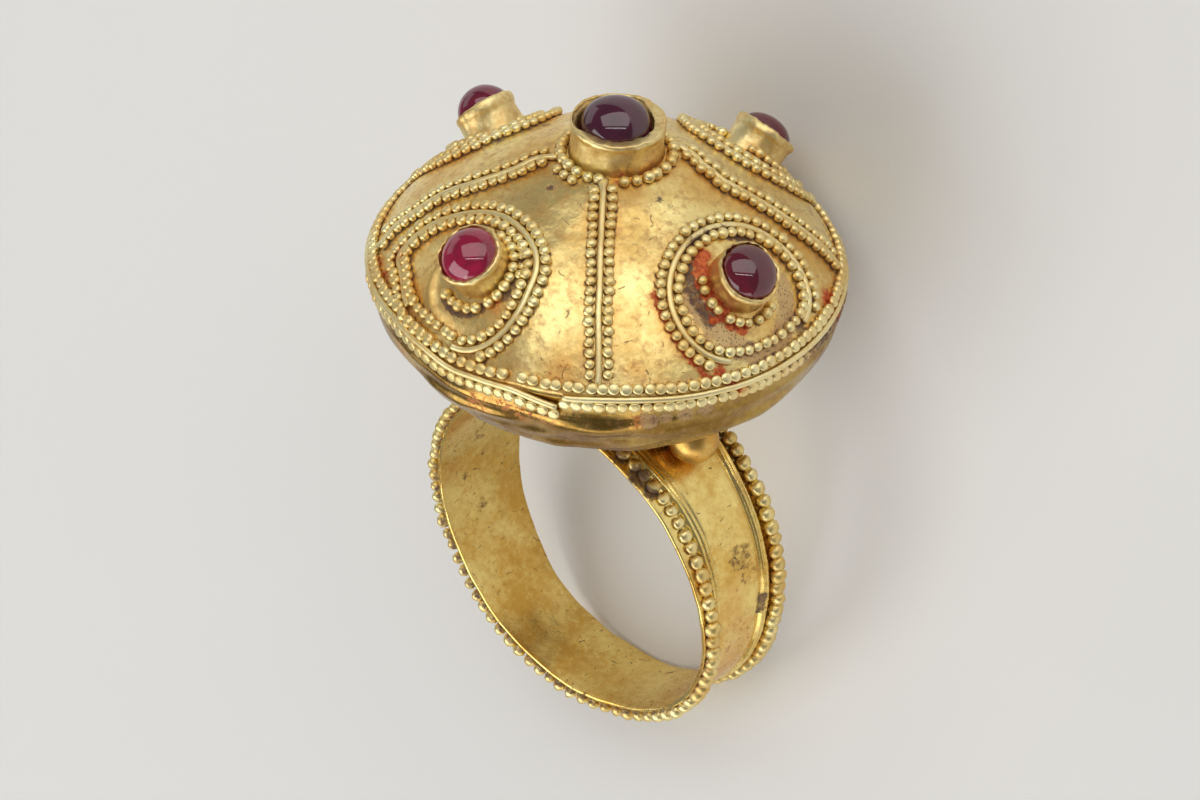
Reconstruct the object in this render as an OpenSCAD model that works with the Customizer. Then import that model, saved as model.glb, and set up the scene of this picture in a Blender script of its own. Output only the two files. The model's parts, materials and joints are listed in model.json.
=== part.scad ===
// Gold dome ring: a hollow lens-shaped bezel with five box collets, soldered on a strap hoop.
// Everything is modelled as worn (dome up, finger along Y, origin in the middle of the border
// wire) and then laid on its side, the way the ring comes to rest on a table.

/* [Hoop] */
// Inside diameter of the hoop, a finger size
finger_d = 18.5; // [17:0.1:20]
// Thickness of the strap sheet
strap_wall = 0.35; // [0.3:0.05:0.6]
// Width of the strap under the bezel
strap_w_top = 7.2; // [6:0.1:8]
// Width of the strap at the foot, opposite the bezel
strap_w_foot = 4.7; // [3.6:0.1:5]
// How far the bezel's middle stands above the hoop's middle
bezel_rise = 16.8; // [16.7:0.05:17.1]
// How far the hoop sits to one side of the bezel's middle
hoop_shift = -0.8; // [-1:0.1:1]
// How far the hoop leans out of the upright under the bezel, in degrees
hoop_tilt = 3.1; // [0:0.1:4]

/* [Bezel] */
// Radius of the border wire
border_r = 12.1; // [11.5:0.1:12.6]
// Height of the dome above the border wire
dome_h = 6.3; // [5.8:0.1:6.8]
// Depth of the bowl below the border wire
bowl_h = 7.4; // [7.3:0.05:7.5]
// Height of the plain upright band below the border wire
band_h = 0.9; // [0.7:0.1:1.2]
// Thickness of the bezel sheets
sheet = 0.4; // [0.3:0.05:0.5]
// Fullness of the bowl: 1 is a cone and 2 an ellipse
bowl_fullness = 1.7; // [1.5:0.05:2]

/* [Wires and granules] */
// Thickness of the plain wires
wire_d = 0.28; // [0.2:0.02:0.36]
// Diameter of the granules on the bezel
grain_d = 0.5; // [0.4:0.02:0.56]
// Diameter of the granules along the edges of the hoop
edge_grain_d = 0.6; // [0.5:0.02:0.64]

/* [Collets] */
// Outside radius of the middle collet
mid_collet_r = 2.4; // [2.2:0.05:2.6]
// Height of the middle collet above the dome
mid_collet_h = 2.1; // [1.5:0.1:2.2]
// Outside radius of an outer collet
side_collet_r = 1.62; // [1.5:0.02:1.7]
// Height of an outer collet above the dome
side_collet_h = 1.4; // [1.2:0.1:1.6]
// Angle on the dome from its top to each outer collet
side_collet_leans = [40.5, 37, 37, 41.5]; // [34:0.5:42]
// How far the whole pattern is turned from the hoop
pattern_turn = -2.5; // [-5:0.5:5]
// Radius of the middle stone
mid_stone_r = 1.8; // [1.6:0.05:1.9]
// Radius of an outer stone
side_stone_r = 1.42; // [1.2:0.02:1.43]

/* [Loops] */
// Angle on the dome from its top to the middle of a loop
loop_lean = 41; // [40:0.5:42]
// Angle on the dome from a loop's middle to its wire
loop_spread = 16; // [15:0.5:17]

/* [Hidden] */
$fn = 72;

// The dome is a cap of a sphere that passes through the border circle
dome_r = (border_r^2 + dome_h^2) / (2*dome_h);
dome_z = dome_h - dome_r;
dome_edge = asin(border_r / dome_r);

// The hoop
finger_r = finger_d / 2;
strap_r = finger_r + strap_wall;
strap_mid_w = (strap_w_top + strap_w_foot) / 2;
strap_taper = atan((strap_w_top - strap_w_foot) / 2 / (2*finger_r));
edge_grain_r = strap_r + 0.25*edge_grain_d;
edge_inset = 0.54*edge_grain_d;
ridge_inset = 1.25;

// The border: a row of granules on the dome's edge, a wire, and a row of granules below it
border_step = 0.42;
upper_row = [border_r - border_step*cos(dome_edge) + 0.4*grain_d*sin(dome_edge),
             border_step*sin(dome_edge) + 0.4*grain_d*cos(dome_edge)];
lower_row = [border_r + 0.25*grain_d, -0.4];

// The bowl's outline, from the band down to the foot
bowl_edge = border_r - 0.1;
bowl_steps = 14;

// Collets and stones
collet_sink = 0.2;
collet_floor = 0.15;
mid_wall = 0.36;
side_wall = 0.14;
lip_lean = 0.03;
stone_gap = 0.05;
mid_stone_rise = 1.1;
side_stone_rise = 0.85;
collet_turns = [for (i = [0:3]) pattern_turn + 90*i];
rib_turns = [for (turn = collet_turns) turn + 45];

// Ribs and loops: their wire and granules bed into the dome
row_step = 0.45;
wire_far = dome_r + 0.3*wire_d;
grain_far = dome_r + 0.3*grain_d;

// The balls in the corners between hoop and bowl
ball_r = 1.3;
ball_turn = 31.8;

// The lying pose: the lower border row and the hoop's edge row touch the table
foot_half = strap_mid_w/2 - edge_inset - edge_grain_r*sin(strap_taper);
foot_drop = edge_grain_r*cos(strap_taper);
foot_y = foot_half*cos(hoop_tilt) + foot_drop*sin(hoop_tilt);
foot_z = -bezel_rise + foot_half*sin(hoop_tilt) - foot_drop*cos(hoop_tilt);
foot_to_border = [lower_row[0] - foot_y, lower_row[1] - foot_z];
lean = atan(foot_to_border[0] / foot_to_border[1])
    - asin((edge_grain_d - grain_d)/2 / norm(foot_to_border));
lift = edge_grain_d/2 + foot_y*cos(lean) - foot_z*sin(lean);
// How far the middle stone and the foot reach to either side, for an origin between them
girdle_share = 0.8;
mid_girdle = girdle_share*mid_collet_h;
mid_crown = mid_collet_h + mid_stone_rise - mid_girdle;
stone_reach = (dome_h + mid_girdle)*cos(lean)
    + norm([mid_stone_r*sin(lean), mid_crown*cos(lean)]);
foot_reach = foot_half*sin(lean + hoop_tilt) + foot_drop*cos(lean + hoop_tilt)
    + bezel_rise*cos(lean) + edge_grain_d/2;

gold = [0.83, 0.68, 0.33];
garnet = [0.42, 0.06, 0.16];

// Radius of the bowl at a share of its depth
function bowl_radius(share, edge) = edge * (1 - share^bowl_fullness)^(1/bowl_fullness);

// Closed outline of the bezel's body, shrunk by a wall; its two ends lie on the axis
function dome_outline(wall) = [for (i = [0:12])
    let (a = i/12 * dome_edge)
    [(dome_r - wall)*sin(a), dome_z + (dome_r - wall)*cos(a)]];
function bowl_outline(wall) = [for (i = [0:bowl_steps])
    let (share = sin(90*i/bowl_steps))
    [bowl_radius(share, bowl_edge - wall), -band_h - (bowl_h - band_h - wall)*share]];

module bezel_body(wall) {
    rotate_extrude() polygon(concat(dome_outline(wall), bowl_outline(wall)));
}

// Hollow bezel: dome and bowl, joined at the border
module bezel() {
    difference() {
        bezel_body(0);
        bezel_body(sheet);
    }
}

// A round rod bent to a circle about Z
module ring_rod(radius, thick, sweep = 360) {
    rotate_extrude(angle = sweep) translate([radius, 0]) circle(d = thick, $fn = 24);
}

module border() {
    ring_rod(border_r, wire_d);
    translate([0, 0, upper_row[1]]) ring_rod(upper_row[0], grain_d);
    translate([0, 0, lower_row[1]]) ring_rod(lower_row[0], grain_d);
}

// Side view of the strap: wide under the bezel and narrow at the foot
module strap_side(radius) {
    top = strap_w_top/2 + (radius - finger_r)*tan(strap_taper);
    foot = strap_w_foot/2 - (radius - finger_r)*tan(strap_taper);
    polygon([[-foot, -radius], [foot, -radius], [top, radius], [-top, radius]]);
}

// Rods along one edge of the strap, set in from the edge and lying in its slanting plane
module strap_rod(side, inset, radius, thick) {
    translate([0, side*(strap_mid_w/2 - inset), 0])
        rotate([90 - side*strap_taper, 0, 0]) ring_rod(radius, thick);
}

module hoop() {
    translate([hoop_shift, 0, -bezel_rise]) rotate([-hoop_tilt, 0, 0]) {
        intersection() {
            rotate([90, 0, 0]) difference() {
                cylinder(r = strap_r, h = 2*strap_w_top, center = true);
                cylinder(r = finger_r, h = 3*strap_w_top, center = true);
            }
            rotate([90, 0, 90]) translate([0, 0, -2*finger_r])
                linear_extrude(4*finger_r) strap_side(1.5*finger_r);
        }
        for (side = [-1, 1]) {
            strap_rod(side, edge_inset, edge_grain_r, edge_grain_d);
            strap_rod(side, ridge_inset, strap_r, wire_d);
        }
    }
}

// Moves a piece from the top of the dome to an angle down it, turned about the dome
module on_dome(turn_z, lean_y) {
    rotate([0, 0, turn_z]) translate([0, 0, dome_z]) rotate([0, lean_y, 0])
        translate([0, 0, dome_r]) children();
}

// Box collet: a tube with a floor and a lip that leans over the stone
module collet(radius, high, wall) {
    bore = radius - wall;
    rotate_extrude() polygon([[0, -collet_sink], [radius, -collet_sink], [radius, high - 0.12],
        [radius - 0.1, high], [bore - lip_lean, high], [bore, high - 0.3], [bore, collet_floor],
        [0, collet_floor]]);
}

module base_ring(radius) {
    translate([0, 0, 0.4*grain_d - dome_r + sqrt(dome_r^2 - radius^2)]) ring_rod(radius, grain_d);
}

module collets() {
    on_dome(0, 0) {
        collet(mid_collet_r, mid_collet_h, mid_wall);
        base_ring(mid_collet_r + 0.45);
    }
    for (i = [0:3]) on_dome(collet_turns[i], side_collet_leans[i]) {
        collet(side_collet_r, side_collet_h, side_wall);
        base_ring(side_collet_r + 0.35);
    }
}

// One rod of a rib: down the dome from the middle collet to the border
module rib_rod(turn, aside, far, thick) {
    start = asin((mid_collet_r + 0.3) / dome_r);
    rotate([0, 0, turn]) translate([0, aside, dome_z]) rotate([90, 0, 0])
        rotate([0, 0, 90 - dome_edge]) ring_rod(sqrt(far^2 - aside^2), thick, dome_edge - start);
}

// Ribs: a wire with a row of granules on each side
module ribs() {
    for (turn = rib_turns) {
        rib_rod(turn, 0, wire_far, wire_d);
        for (side = [-1, 1]) rib_rod(turn, side*row_step, grain_far, grain_d);
    }
}

// One rod of a loop: a horseshoe round an outer collet, open towards the border
module loop_rod(turn, spread, far, thick) {
    edge = dome_edge - 1.5;
    half_gap = acos((cos(loop_lean)*cos(spread) - cos(edge)) / (sin(loop_lean)*sin(spread)));
    rotate([0, 0, turn]) translate([0, 0, dome_z]) rotate([0, loop_lean, 0])
        translate([0, 0, far*cos(spread)]) rotate([0, 0, half_gap])
            ring_rod(far*sin(spread), thick, 360 - 2*half_gap);
}

// Loops: a wire with a row of granules on each side
module loops() {
    row_angle = row_step / dome_r * 180/PI;
    for (turn = collet_turns) {
        loop_rod(turn, loop_spread, wire_far, wire_d);
        for (side = [-1, 1]) loop_rod(turn, loop_spread + side*row_angle, grain_far, grain_d);
    }
}

module balls() {
    reach = strap_r + 0.9*ball_r;
    translate([hoop_shift, 0, -bezel_rise]) for (side = [-1, 1])
        translate([side*reach*sin(ball_turn), 0, reach*cos(ball_turn)]) sphere(ball_r);
}

// Cabochon: a short girdle with an elliptical dome
module cabochon(radius, high, rise) {
    girdle = girdle_share*high;
    crown = high + rise - girdle;
    steps = 10;
    rotate_extrude() polygon(concat(
        [[0, collet_floor + stone_gap], [0.8*radius, collet_floor + stone_gap], [radius, 0.35*high]],
        [for (i = [0:steps]) [radius*cos(90*i/steps), girdle + crown*sin(90*i/steps)]]));
}

// Lays the worn ring on its side
module laid() {
    translate([0, (stone_reach - foot_reach)/2, lift]) rotate([90 - lean, 0, 0]) children();
}

module gold_ring() {
    color(gold) laid() union() {
        bezel();
        border();
        hoop();
        collets();
        ribs();
        loops();
        balls();
    }
}

module stone_mid() {
    color(garnet) laid() on_dome(0, 0) cabochon(mid_stone_r, mid_collet_h, mid_stone_rise);
}

module side_stone(i) {
    color(garnet) laid() on_dome(collet_turns[i], side_collet_leans[i])
        cabochon(side_stone_r, side_collet_h, side_stone_rise);
}

gold_ring();
stone_mid();
side_stone(0);  // stone_a
side_stone(1);  // stone_b
side_stone(2);  // stone_c
side_stone(3);  // stone_d
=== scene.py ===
import bpy
import bmesh
import json
import math
import random
from mathutils import Matrix, Vector, kdtree, noise

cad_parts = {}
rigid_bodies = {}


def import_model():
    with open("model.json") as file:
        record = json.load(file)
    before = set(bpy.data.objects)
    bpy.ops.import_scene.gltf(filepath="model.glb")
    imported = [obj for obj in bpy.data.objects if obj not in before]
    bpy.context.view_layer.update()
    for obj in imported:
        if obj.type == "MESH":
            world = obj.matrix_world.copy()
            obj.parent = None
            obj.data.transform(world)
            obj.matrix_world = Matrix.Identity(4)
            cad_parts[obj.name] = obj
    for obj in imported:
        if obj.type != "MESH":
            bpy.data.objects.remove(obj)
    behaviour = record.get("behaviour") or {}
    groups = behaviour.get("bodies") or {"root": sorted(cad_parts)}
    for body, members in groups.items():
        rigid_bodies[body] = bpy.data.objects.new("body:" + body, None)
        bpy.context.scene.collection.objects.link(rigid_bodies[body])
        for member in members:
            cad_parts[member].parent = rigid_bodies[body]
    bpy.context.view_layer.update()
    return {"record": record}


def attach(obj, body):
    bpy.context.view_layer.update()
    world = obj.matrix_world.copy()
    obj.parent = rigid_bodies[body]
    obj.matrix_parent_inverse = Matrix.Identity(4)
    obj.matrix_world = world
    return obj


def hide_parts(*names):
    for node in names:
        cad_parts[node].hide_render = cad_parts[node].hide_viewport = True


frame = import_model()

# How the ring lies
# The ring rests on its side, on the border of its bezel and the foot of its hoop. Its pieces are
# shaped as it is worn, in millimetres, dome up, finger about along Y and the middle of the border
# wire at the origin, and `laid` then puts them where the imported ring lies.
millimetre = 0.001
finger = frame["record"]["mounts"][0]
hoop_middle = Vector((-0.8, 0, -16.8))
hoop_tilt = math.radians(3.1)
hoop_turn = Matrix.Rotation(-hoop_tilt, 3, "X")
finger_way = Matrix.Rotation(hoop_tilt, 3, "X") @ Vector(finger["axis"]).normalized()
dome_way = Vector((1, 0, 0)).cross(finger_way)
lying_turn = Matrix((Vector((1, 0, 0)), finger_way, dome_way)).transposed()
laid = (lying_turn * millimetre).to_4x4()
laid.translation = Vector(finger["pos_m"]) - lying_turn @ hoop_middle * millimetre


# Camera, floor and lamps
# The camera sees the ring from the photograph's side: its turn and height are those of the worn
# ring. The floor is plain pale paper, and soft boxes and one narrow strip light stand round it.
photo_turn, photo_height, photo_roll = (math.radians(a) for a in (132.9, 35.45, 3.2))
photo_lens = 151.5
photo_place = Vector((-0.5386, -7.047, 254.2))
floor_half = 1.5
sky_strength = 0.18
back = Vector((math.cos(photo_height) * math.cos(photo_turn),
               math.cos(photo_height) * math.sin(photo_turn), math.sin(photo_height)))
up = (Vector((0, 0, 1)) - back * back.z).normalized()
seen_turn = Matrix((up.cross(back), up, back)).transposed() @ Matrix.Rotation(photo_roll, 3, "Z")
camera = bpy.data.objects.new("camera", bpy.data.cameras.new("camera"))
camera.data.lens = photo_lens
camera.data.clip_start = 0.01
camera.matrix_world = (Matrix.Translation(laid @ (seen_turn @ photo_place))
                       @ (lying_turn @ seen_turn).to_4x4())
bpy.context.collection.objects.link(camera)
bpy.context.scene.camera = camera


class Shade:
    """One socket of a material. Sums and products of sockets add the Math nodes they need."""

    def __init__(self, tree, socket=None):
        self.tree = tree
        self.socket = socket

    def node(self, kind, settings=None, values=None, out=0):
        made = self.tree.nodes.new(kind)
        for name, value in (settings or {}).items():
            setattr(made, name, value)
        for name, value in (values or {}).items():
            if isinstance(value, Shade):
                self.tree.links.new(value.socket, made.inputs[name])
            else:
                made.inputs[name].default_value = value
        return Shade(self.tree, made.outputs[out])

    def maths(self, operation, *values):
        return self.node("ShaderNodeMath", {"operation": operation}, dict(enumerate(values)))

    def __add__(self, other):
        return self.maths("ADD", self, other)

    def __radd__(self, other):
        return self.maths("ADD", other, self)

    def __sub__(self, other):
        return self.maths("SUBTRACT", self, other)

    def __rsub__(self, other):
        return self.maths("SUBTRACT", other, self)

    def __mul__(self, other):
        return self.maths("MULTIPLY", self, other)

    def __rmul__(self, other):
        return self.maths("MULTIPLY", other, self)

    def step(self, low, high):
        """0 below low and 1 above high, with a soft turn between."""
        return self.node("ShaderNodeMapRange", {"interpolation_type": "SMOOTHSTEP"},
                         {"Value": self, "From Min": low, "From Max": high})

    def mix(self, first, second):
        """A colour that goes from first to second as this value goes from 0 to 1."""
        return self.node("ShaderNodeMix", {"data_type": "RGBA"}, {0: self, 6: first, 7: second}, 2)

    def noise(self, size, detail=3.0, rough=0.5):
        """Noise whose features are this many millimetres wide; this socket is the place."""
        return self.node("ShaderNodeTexNoise", {},
                         {"Vector": self, "Scale": 1 / size, "Detail": detail,
                          "Roughness": rough})

    def mesh_value(self, name):
        """A value the mesh carries at each of its points."""
        return self.node("ShaderNodeAttribute", {"attribute_name": name}, {}, 2)


def colour(red, green, blue):
    """A colour given as the screen shows it, from 0 to 255, made linear."""
    tones = [part / 255 for part in (red, green, blue)]
    return [t / 12.92 if t < 0.04045 else ((t + 0.055) / 1.055) ** 2.4 for t in tones] + [1.0]


def new_material(name):
    """A material with its shader, and the place on the piece in millimetres."""
    material = bpy.data.materials.new(name)
    material.use_nodes = True
    tree = material.node_tree
    place = Shade(tree).node("ShaderNodeTexCoord", {}, {}, 3)
    scale = (1 / millimetre,) * 3
    place = place.node("ShaderNodeMapping", {}, {"Vector": place, "Scale": scale})
    return material, tree.nodes["Principled BSDF"], place


def feed(shader, **sockets):
    """Sets or links sockets of a shader; an underscore in a name stands for a space."""
    for name, value in sockets.items():
        socket = shader.inputs[name.replace("_", " ")]
        if isinstance(value, Shade):
            value.tree.links.new(value.socket, socket)
        else:
            socket.default_value = value


floor_mesh = bmesh.new()
bmesh.ops.create_grid(floor_mesh, x_segments=1, y_segments=1, size=floor_half)
floor = bpy.data.objects.new("floor", bpy.data.meshes.new("floor"))
floor_mesh.to_mesh(floor.data)
floor_mesh.free()
paper, shader, place = new_material("floor_paper")
feed(shader, Base_Color=place.noise(60).mix(colour(232, 230, 226), colour(237, 235, 231)),
     Roughness=0.9)
floor.data.materials.append(paper)
bpy.context.collection.objects.link(floor)

lamps = (
    # name, direction from the ring, distance, width, height, watts, colour
    ("key_box", (-0.14, -0.83, 0.54), 0.50, 0.80, 0.42, 1.5, (1.0, 0.98, 0.95)),
    ("line", (-0.48, -0.48, 0.73), 0.60, 0.70, 0.018, 0.30, (1.0, 1.0, 1.0)),
    ("side_box", (0.93, -0.22, 0.30), 0.55, 0.40, 0.26, 0.2, (1.0, 0.99, 0.97)),
    ("high_box", (0.16, 0.60, 0.78), 0.60, 0.70, 0.50, 2.3, (0.98, 0.99, 1.0)),
    ("back_box", (-0.51, 0.80, 0.32), 0.55, 0.50, 0.24, 0.55, (1.0, 0.98, 0.95)),
)
for name, way, distance, wide, high, watts, tint in lamps:
    lamp = bpy.data.lights.new(name, "AREA")
    lamp.shape = "RECTANGLE"
    lamp.size = wide
    lamp.size_y = high
    lamp.energy = watts
    lamp.color = tint
    way = Vector(way).normalized()
    across = lying_turn @ seen_turn @ Vector((1, 0, 0))
    across = (across - way * across.dot(way)).normalized()
    holder = bpy.data.objects.new(name, lamp)
    holder.matrix_world = (Matrix.Translation(way * distance)
                           @ Matrix((across, way.cross(across), way)).transposed().to_4x4())
    bpy.context.collection.objects.link(holder)
sky = bpy.data.worlds.new("studio")
sky.use_nodes = True
sky.node_tree.nodes["Background"].inputs["Color"].default_value = (0.96, 0.97, 1.0, 1.0)
sky.node_tree.nodes["Background"].inputs["Strength"].default_value = sky_strength
bpy.context.scene.world = sky
bpy.context.scene.view_settings.view_transform = "Standard"


# Hoop strap
# One strip of thick gold sheet, wide under the bezel and narrow at the foot, bent round the
# finger. Each edge has a plain rim, a channel for granules and a raised strip with two ridges.
finger_r = 9.25
strap_r = 9.6
strap_panel_r = 9.54
strap_half = 2.975
strap_spread = 0.625
strip_in = 1.42
strap_steps = 320
strap_dents = 0.08
strap_fine_dents = 0.026
far_rim_extra = 0.06
near_rim_extra = 0.50
edge_shape = (
    # in from the strap's edge, and out from the hoop's middle
    (1.36, 9.53), (1.30, 9.50), (1.25, 9.51), (1.20, 9.60), (1.13, 9.68), (1.04, 9.69),
    (0.97, 9.63), (0.93, 9.63), (0.87, 9.67), (0.78, 9.66), (0.70, 9.60), (0.64, 9.50),
    (0.58, 9.45), (0.40, 9.43), (0.20, 9.45), (0.13, 9.48), (0.08, 9.49), (0.03, 9.47),
    (0.0, 9.42), (0.0, 9.32), (0.03, 9.26), (0.09, 9.25),
)
edge_stray = {
    # degrees round the hoop, and how far each edge strays along the finger there
    1: ((0, 0.13), (60, 0.0), (110, -0.22), (149, -0.39), (170, -0.40), (195, -0.60), (225, -0.52),
        (250, -0.36), (272, 0.08), (310, 0.20), (360, 0.13)),
    -1: ((0, 0.18), (60, 0.0), (136, 0.18), (180, 0.10), (240, -0.05), (267, 0.0), (285, 0.19),
         (310, 0.44), (334, 0.33), (360, 0.18)),
}


def ramp(value, low, high):
    """0 below low, 1 above high and smooth between; the other way round if high is the less."""
    share = min(1.0, max(0.0, (value - low) / (high - low)))
    return share * share * (3 - 2 * share)


def eased(table, at):
    """The value between the rows of a table of places and values, without corners."""
    for (low, first), (high, last) in zip(table, table[1:]):
        if at <= high:
            return first + (last - first) * ramp(at, low, high)
    return table[-1][1]


def rim_extra(angle, side):
    """How much wider than elsewhere the plain rim is, beside the bezel on the near edge."""
    turn = math.degrees(angle) % 360
    if side < 0:
        return far_rim_extra
    return near_rim_extra * ramp(turn, 60, 105) * ramp(turn, 186, 142)


def on_hoop(angle, y, radius):
    """Where a point of the strap's section comes, for a strap of middling width."""
    side = 1 if y > 0 else -1
    half = strap_half + strap_spread * math.sin(angle) * radius / finger_r
    edge = half + side * eased(edge_stray[side], math.degrees(angle) % 360)
    inward = strap_half - abs(y)
    extra = rim_extra(angle, side)
    if inward < strip_in:
        wide = edge - inward - extra * ramp(inward, 0.08, 0.16)
    else:
        wide = abs(y) * (edge - extra - strip_in) / (strap_half - strip_in)
    at = Vector((2.2 * math.cos(angle), 2.2 * math.sin(angle), 0.25 * y))
    fine = Vector((8 * math.cos(angle), 8 * math.sin(angle), 0.9 * y))
    radius += strap_dents * noise.noise(at) + strap_fine_dents * noise.noise(fine)
    wide += 0.05 * noise.noise(at + Vector((7.3, 0, 0))) + 0.03 * noise.noise(fine * 1.3)
    return hoop_middle + hoop_turn @ Vector((radius * math.cos(angle), side * wide,
                                             radius * math.sin(angle)))


def finish(bm, name, material, smooth=180, node="gold_ring"):
    """Lays a piece in millimetres where it belongs, and gives it to the ring."""
    bm.transform(laid)
    mesh = bpy.data.meshes.new(name)
    bm.to_mesh(mesh)
    bm.free()
    mesh.polygons.foreach_set("use_smooth", [True] * len(mesh.polygons))
    if smooth < 180:
        mesh.set_sharp_from_angle(angle=math.radians(smooth))
    mesh.materials.append(material)
    piece = bpy.data.objects.new(name, mesh)
    bpy.context.collection.objects.link(piece)
    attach(piece, "root")
    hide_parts(node)
    return piece


ochre_tone = colour(222, 166, 90)
blot_tone = colour(192, 148, 96)
crust_tone = colour(204, 168, 122)
# Dark brown and purple of the soil, which also serves as painted shade in corners.
soil_and_shade_tones = colour(128, 86, 52), colour(70, 46, 54)
residue_tones = colour(176, 62, 24), colour(222, 108, 50)


def gold_finish(name, pale, deep, rough, grain=0.012, mottle=0.0, hairs=0.0, pits=0.0):
    """Old gold in two tones. The mesh says where soil, orange residue and sandy crust are, and
    where the soil and ochre colours also paint shade and dark reflection.
    """
    material, shader, place = new_material(name)
    cloud = place.noise(3.5, 4.0, 0.55)
    fleck = place.noise(0.35, 4.0, 0.65)
    fine = place.noise(0.09, 2.0, 0.6)
    metal = (cloud * 0.7 + fleck * 0.3).step(0.36, 0.64).mix(pale, deep)
    # The rust value gives the ochre colour; on the hoop's outer panel it is painted dark
    # reflection.
    rust_and_shade = place.mesh_value("rust_and_shade")
    ochre = (rust_and_shade * 1.4 + cloud * 0.8 - 0.40).step(0.15, 1.0)
    metal = (ochre * 0.7).mix(metal, ochre_tone)
    blots = place.noise(0.7, 6.0, 0.7).step(0.48, 0.70) * mottle
    metal = blots.mix(metal, blot_tone)
    sandy = place.mesh_value("speck")
    crust = (sandy + fleck * 0.8 - 0.4).step(0.30, 0.75)
    metal = (crust * 0.7).mix(metal, crust_tone)
    # The soil mask darkens corners and the feet of granules: dirt, and painted shade there too.
    soil_and_shade = (place.mesh_value("soil_and_shade") + fleck * 1.1 + fine * 0.3 - 0.70).step(0.35, 0.75)
    soil_and_shade_tone = place.noise(0.25, 3.0).step(0.36, 0.62).mix(*soil_and_shade_tones)
    residue = (rust_and_shade + fleck * 1.2 + fine * 0.3 - 0.75).step(0.55, 0.85)
    residue_tone = place.noise(0.2, 3.0).step(0.38, 0.62).mix(*residue_tones)
    dots = place.node("ShaderNodeTexVoronoi", {"feature": "F1"},
                      {"Vector": place, "Scale": 6.5, "Randomness": 1.0})
    speckle = (1 - dots.step(0.18, 0.34)) * (sandy + cloud * 0.5).step(0.5, 0.8)
    marks = soil_and_shade.maths("MAXIMUM", soil_and_shade, speckle * 0.8)
    if pits:
        holes = place.node("ShaderNodeTexVoronoi", {"feature": "F1"},
                           {"Vector": place, "Scale": 2.6, "Randomness": 1.0})
        spots = (1 - holes.step(0.04, 0.11)) * place.noise(4.0, 2.0).step(0.48, 0.64) * pits
        marks = marks.maths("MAXIMUM", marks, spots)
    if hairs:
        bend = place.noise(1.4, 1.0) - 0.5
        bend = bend.maths("ABSOLUTE", bend)
        scratch = (1 - bend.step(0.003, 0.010)) * place.noise(0.45, 1.0).step(0.58, 0.64) * hairs
        marks = marks.maths("MAXIMUM", marks, scratch)
    base = (residue * 0.95).mix((marks * 0.88).mix(metal, soil_and_shade_tone), residue_tone)
    covered = marks.maths("MAXIMUM", marks, residue)
    height = place.noise(0.9, 3.0) * 3 * grain + fleck * 1.5 * grain - blots * 0.012
    height = height - marks * 0.02 + residue * fleck * 0.04 + crust * fleck * 0.02
    bump = place.node("ShaderNodeBump", {},
                      {"Strength": 1.0, "Distance": millimetre, "Height": height})
    bare = 1 - covered * 0.85 - blots * 0.25 - crust * 0.5
    feed(shader, Base_Color=base, Metallic=bare.maths("MAXIMUM", bare, 0.0), Normal=bump,
         Roughness=rough + (cloud - 0.5) * 0.3 + (fleck - 0.5) * 0.25 + covered * 0.3 + crust * 0.3)
    return material


strap = bmesh.new()
section = [(strap_half - strip_in - 0.2 * i, strap_panel_r) for i in range(7, 0, -1)]
section = [(0.0, strap_panel_r)] + section
section += [(strap_half - inward, out) for inward, out in edge_shape]
section += [(strap_half - 0.35 * i, finger_r) for i in range(1, 9)] + [(0.0, finger_r)]
section += [(-y, radius) for y, radius in section[-2:0:-1]]
points = [strap.verts.new((radius, y, 0)) for y, radius in section]
edges = [strap.edges.new((points[i - 1], points[i])) for i in range(len(points))]
bmesh.ops.spin(strap, geom=points + edges, cent=(0, 0, 0), axis=(0, 1, 0),
               angle=math.tau, steps=strap_steps, use_merge=True)
bmesh.ops.remove_doubles(strap, verts=strap.verts, dist=0.001)
bmesh.ops.recalc_face_normals(strap, faces=strap.faces)
for v in strap.verts:
    v.co = on_hoop(math.atan2(v.co.z, v.co.x), v.co.y, math.hypot(v.co.x, v.co.z))
strap_gold = gold_finish("strap_gold", colour(255, 230, 146), colour(226, 180, 86), 0.27,
                         grain=0.006, mottle=0.12, hairs=0.9, pits=0.4)
finish(strap, "hoop_strap", strap_gold, smooth=50)


# Granules along the hoop
# Balls of gold, fused one by one into the channels along both edges of the strap. Wear has
# flattened them, and low on the hoop they are larger and stand out over the rim.
edge_grain = 0.74
edge_grain_in, edge_grain_rise = 0.27, 0.14
edge_pitch = 4.45
edge_first, edge_last = 104.0, 436


def bead(bm, spot, up, along, sizes, rnd, uneven=0.05, worn=1.0):
    """One granule: a small ball, never quite round, its top worn flat at this share of it."""
    up = up.normalized()
    side = along.cross(up).normalized()
    along = up.cross(side)
    frame_of = Matrix((along * sizes[0], side * sizes[1], up * sizes[2])).transposed().to_4x4()
    frame_of.translation = spot
    made = bmesh.ops.create_icosphere(bm, subdivisions=2, radius=0.5, matrix=frame_of)["verts"]
    shift = Vector((rnd.random(), rnd.random(), rnd.random())) * 50
    top = worn * 0.5 * sizes[2]
    for v in made:
        away = v.co - spot
        away -= up * max(0.0, away.dot(up) - top) * 0.85
        v.co = spot + away * (1 + uneven * noise.noise(v.co * 3.0 + shift))


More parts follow.
